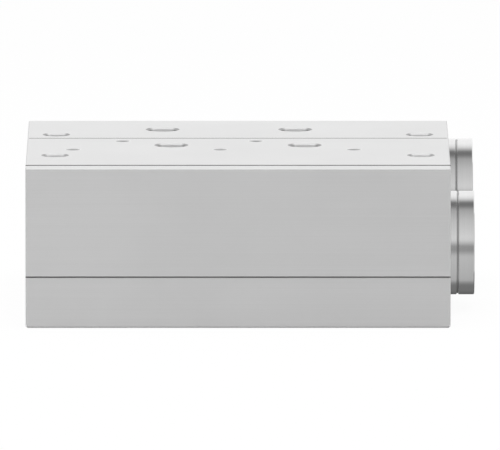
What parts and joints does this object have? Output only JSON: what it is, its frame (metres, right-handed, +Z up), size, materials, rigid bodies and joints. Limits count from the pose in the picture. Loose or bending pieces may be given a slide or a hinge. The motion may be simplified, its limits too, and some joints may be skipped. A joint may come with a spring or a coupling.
{
  "type": "hydraulic manifold block",
  "caption": "Sectional hydraulic manifold block with two rows of threaded ports in its top, corner fixing holes, a let-in face plate and two round end caps.",
  "frame": {"origin": "middle of the flat underside of the block", "axes": "+X along the block to the end with the round caps, +Y from the face plate to the rear section, +Z up out of the top ports"},
  "size_m": [0.2807, 0.2294, 0.1002],
  "materials": {
    "aluminium_block": "fine milled, satin",
    "turned_steel": "turned, bright",
    "screw_steel": "blackened",
    "seal_rubber": "matt"
  },
  "bodies": {
    "root": {"main_section": "aluminium_block", "rear_section": "aluminium_block", "face_plate": "aluminium_block", "face_plate_gasket": "seal_rubber", "face_plate_screws": "screw_steel", "face_plate_dowels": "turned_steel", "section_gasket": "seal_rubber", "section_screws": "screw_steel", "section_dowels": "turned_steel", "cross_drilling_orings": "seal_rubber", "front_cap": "turned_steel", "front_cap_ring": "turned_steel", "front_cap_seal": "turned_steel", "front_cap_oring": "seal_rubber", "front_cap_screws": "screw_steel", "rear_cap": "turned_steel", "rear_cap_ring": "turned_steel", "rear_cap_seal": "turned_steel", "rear_cap_oring": "seal_rubber", "rear_cap_screws": "screw_steel", "drain_plugs": "screw_steel", "rear_gauge_plug": "screw_steel"}
  },
  "joints": []
}
